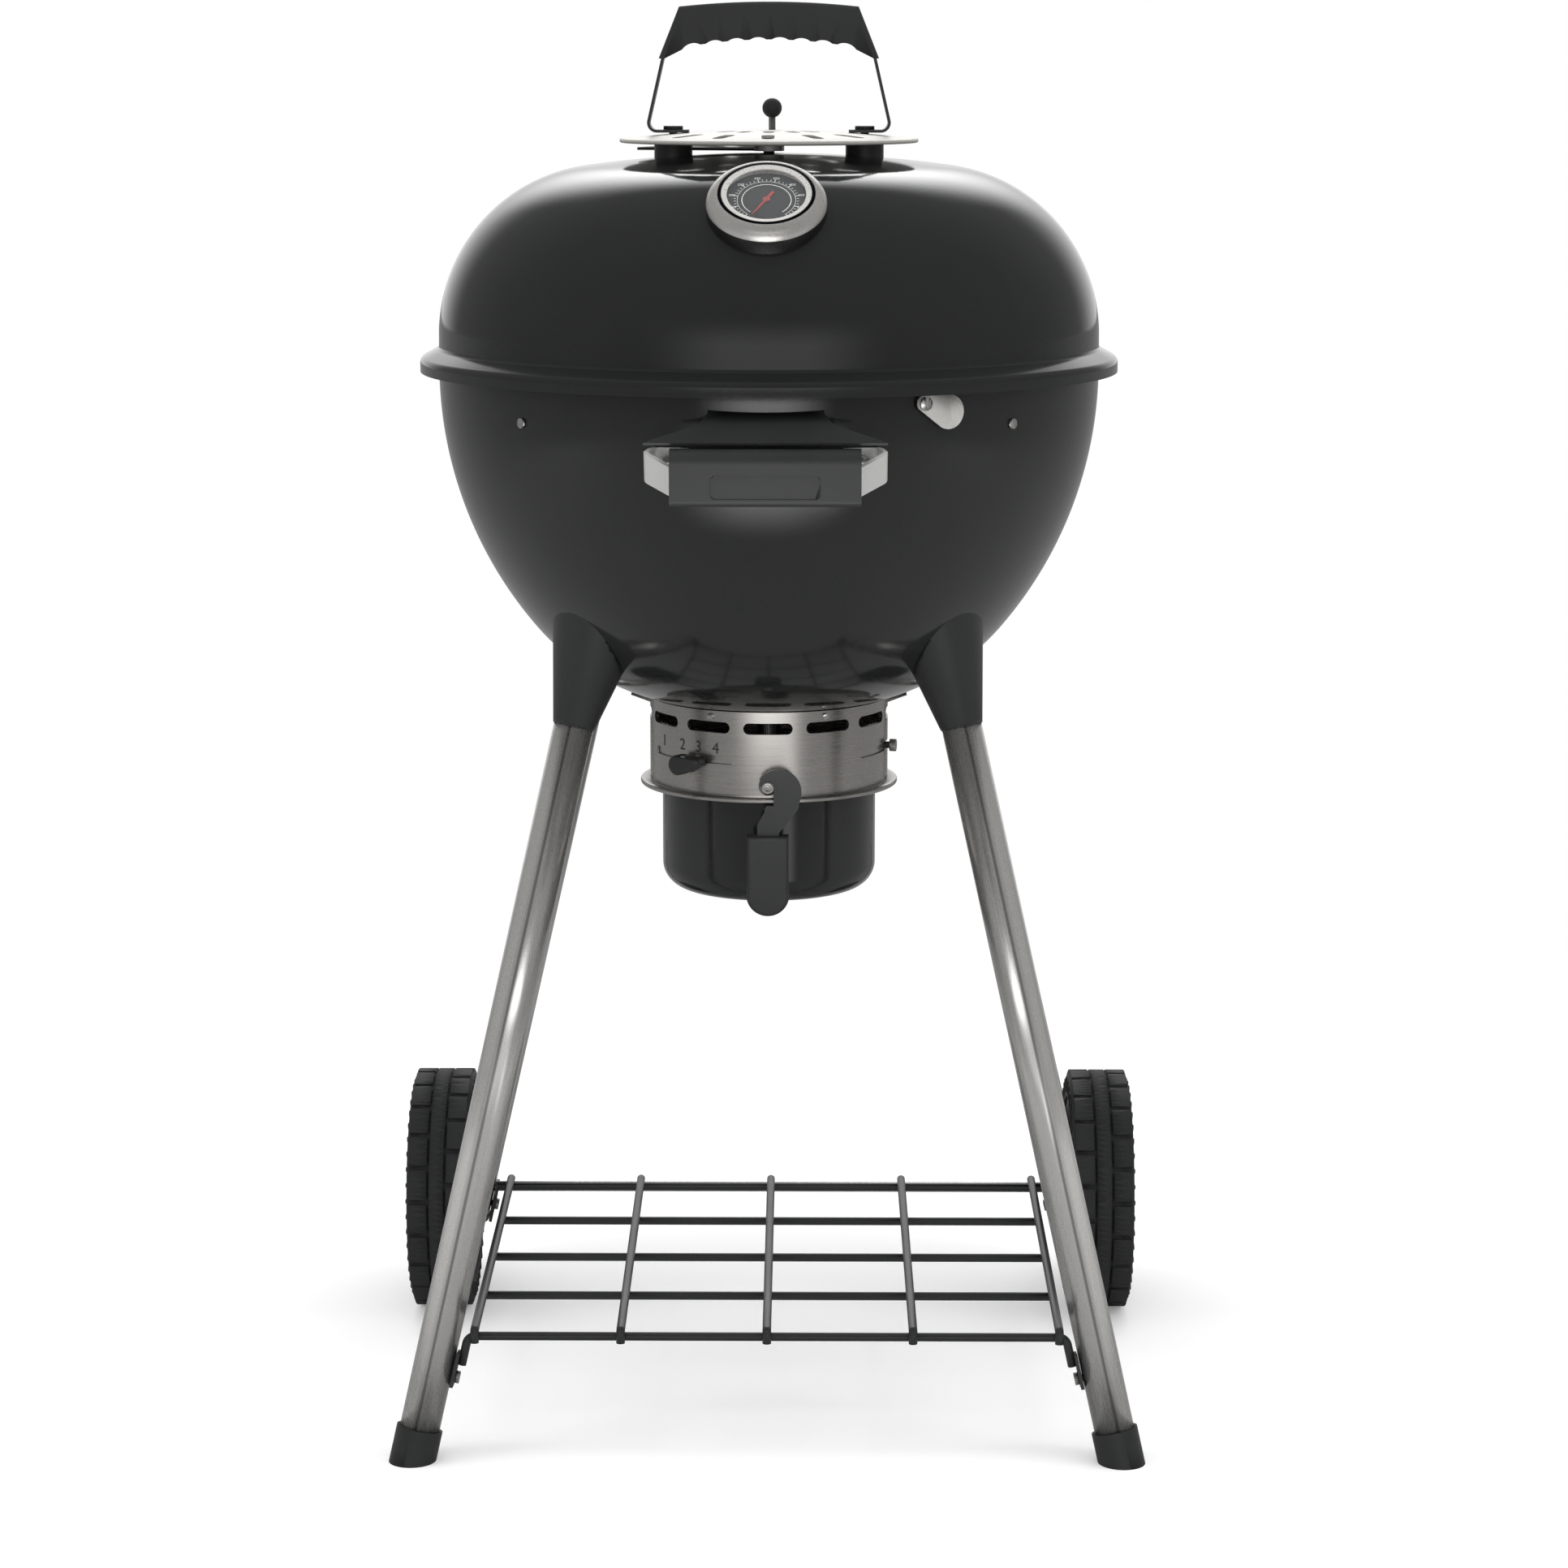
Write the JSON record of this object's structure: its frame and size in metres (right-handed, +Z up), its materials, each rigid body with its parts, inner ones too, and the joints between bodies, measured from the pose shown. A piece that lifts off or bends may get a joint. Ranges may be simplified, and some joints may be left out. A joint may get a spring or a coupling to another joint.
{
  "type": "kettle charcoal grill",
  "caption": "Round lidded charcoal kettle grill on splayed tube legs with rear wheels, wire rack, air collar with ash sweeper and pot, lid vent and thermometer.",
  "frame": {"origin": "on the floor under the middle of the bounding box, which is the kettle's axis", "axes": "+Z up, -Y to the front handle, +X to the right seen from the front"},
  "size_m": [0.572, 0.572, 1.0209],
  "materials": {
    "enamel": "gloss black porcelain enamel",
    "pot_enamel": "gloss black enamel",
    "black_plastic": "fine grained black plastic",
    "wheel_plastic": "satin black plastic",
    "tread": "matte black moulded tread",
    "grommet_rubber": "soft black rubber",
    "leg_steel": "satin brushed tube",
    "collar_steel": "brushed sheet",
    "shield_metal": "satin",
    "strap_aluminium": "satin",
    "bezel_metal": "satin cast",
    "dial_face": "matte black printed dial",
    "dial_glass": "clear",
    "needle_red": "red",
    "stem_steel": "plain",
    "black_paint": "satin black paint",
    "grate_wire": "plated wire",
    "vent_steel": "plain sheet",
    "fastener": "zinc plated"
  },
  "bodies": {
    "kettle": {"bowl": "enamel", "grate_brackets": "black_paint", "bracket_screws": "fastener", "front_handle_grip": "black_plastic", "front_handle_hood": "black_paint", "front_handle_bracket_left": "strap_aluminium", "front_handle_bracket_right": "strap_aluminium", "front_handle_screws": "fastener", "probe_grommet": "grommet_rubber", "probe_screw": "fastener", "leg_socket_front_left": "black_plastic", "leg_socket_front_right": "black_plastic", "leg_socket_rear_left": "black_plastic", "leg_socket_rear_right": "black_plastic", "socket_screws": "fastener", "leg_front_left": "leg_steel", "leg_front_right": "leg_steel", "leg_rear_left": "leg_steel", "leg_rear_right": "leg_steel", "foot_cap_left": "black_plastic", "foot_cap_right": "black_plastic", "rear_leg_plugs": "black_plastic", "wheel_axle": "fastener", "hub_caps": "black_plastic", "bottom_rack": "black_paint", "rack_screws": "fastener", "air_collar": "collar_steel", "collar_rivets": "fastener", "latch_bolt": "fastener"},
    "lid": {"lid_shell": "enamel", "shield_spacers": "black_paint", "vent_post": "vent_steel", "heat_shield": "shield_metal", "handle_strap": "black_paint", "handle_grip": "black_plastic", "handle_bolts": "black_paint", "thermometer_bezel": "bezel_metal", "thermometer_case": "bezel_metal", "thermometer_dial": "dial_face", "thermometer_lens": "dial_glass", "thermometer_stem": "stem_steel"},
    "damper": {"vent_damper": "vent_steel", "vent_lever_rod": "vent_steel", "vent_knob": "black_plastic"},
    "needle": {"thermometer_needle": "needle_red"},
    "cooking_grate": {"cooking_grate": "grate_wire"},
    "charcoal_grate": {"charcoal_grate": "grate_wire"},
    "sweeper": {"sweeper_blades": "vent_steel", "air_sleeve": "collar_steel", "lever_pins": "vent_steel", "lever_knob": "black_plastic"},
    "ash_pot": {"ash_pot": "pot_enamel"},
    "latch": {"latch_plate": "black_paint", "latch_grip": "black_plastic"},
    "probe_cover": {"probe_cover": "collar_steel"},
    "wheel_left": {"tyre_left": "tread", "wheel_hub_left": "wheel_plastic"},
    "wheel_right": {"tyre_right": "tread", "wheel_hub_right": "wheel_plastic"}
  },
  "joints": [
    {"name": "lid_lift", "type": "slide", "parent": "kettle", "child": "lid", "axis": [0, 0, 1], "range_m": [0, 0.42]},
    {"name": "vent_damper_turn", "type": "hinge", "parent": "lid", "child": "damper", "pos_m": [0, 0, 0.917], "axis": [0, 0, 1], "range_deg": [-70, 0]},
    {"name": "needle_turn", "type": "hinge", "parent": "lid", "child": "needle", "pos_m": [0, -0.187, 0.88362], "axis": [0, -0.5902, 0.8073], "range_deg": [-250, 0]},
    {"name": "cooking_grate_lift", "type": "slide", "parent": "kettle", "child": "cooking_grate", "axis": [0, 0, 1], "range_m": [0, 0.22]},
    {"name": "charcoal_grate_lift", "type": "slide", "parent": "kettle", "child": "charcoal_grate", "axis": [0, 0, 1], "range_m": [0, 0.09]},
    {"name": "sweeper_turn", "type": "hinge", "parent": "kettle", "child": "sweeper", "pos_m": [0, 0, 0.4885], "axis": [0, 0, 1], "range_deg": [-28, 19]},
    {"name": "ash_pot_drop", "type": "slide", "parent": "kettle", "child": "ash_pot", "axis": [0, 0, -1], "range_m": [0, 0.25]},
    {"name": "latch_turn", "type": "hinge", "parent": "kettle", "child": "latch", "pos_m": [0, -0.0965, 0.472], "axis": [0, -1, 0], "range_deg": [0, 80]},
    {"name": "probe_cover_turn", "type": "hinge", "parent": "kettle", "child": "probe_cover", "pos_m": [0.10459, -0.21355, 0.755], "axis": [0.5113, -0.8594, 0], "range_deg": [-110, 0]},
    {"name": "wheel_left_spin", "type": "hinge", "parent": "kettle", "child": "wheel_left", "pos_m": [-0.26, 0.192, 0.094], "axis": [1, 0, 0], "continuous": true},
    {"name": "wheel_right_spin", "type": "hinge", "parent": "kettle", "child": "wheel_right", "pos_m": [0.26, 0.192, 0.094], "axis": [1, 0, 0], "continuous": true}
  ],
  "couplings": [
    {"joint": "cooking_grate_lift", "follows": "lid_lift", "ratio": 0.5},
    {"joint": "charcoal_grate_lift", "follows": "lid_lift", "ratio": 0.2}
  ]
}
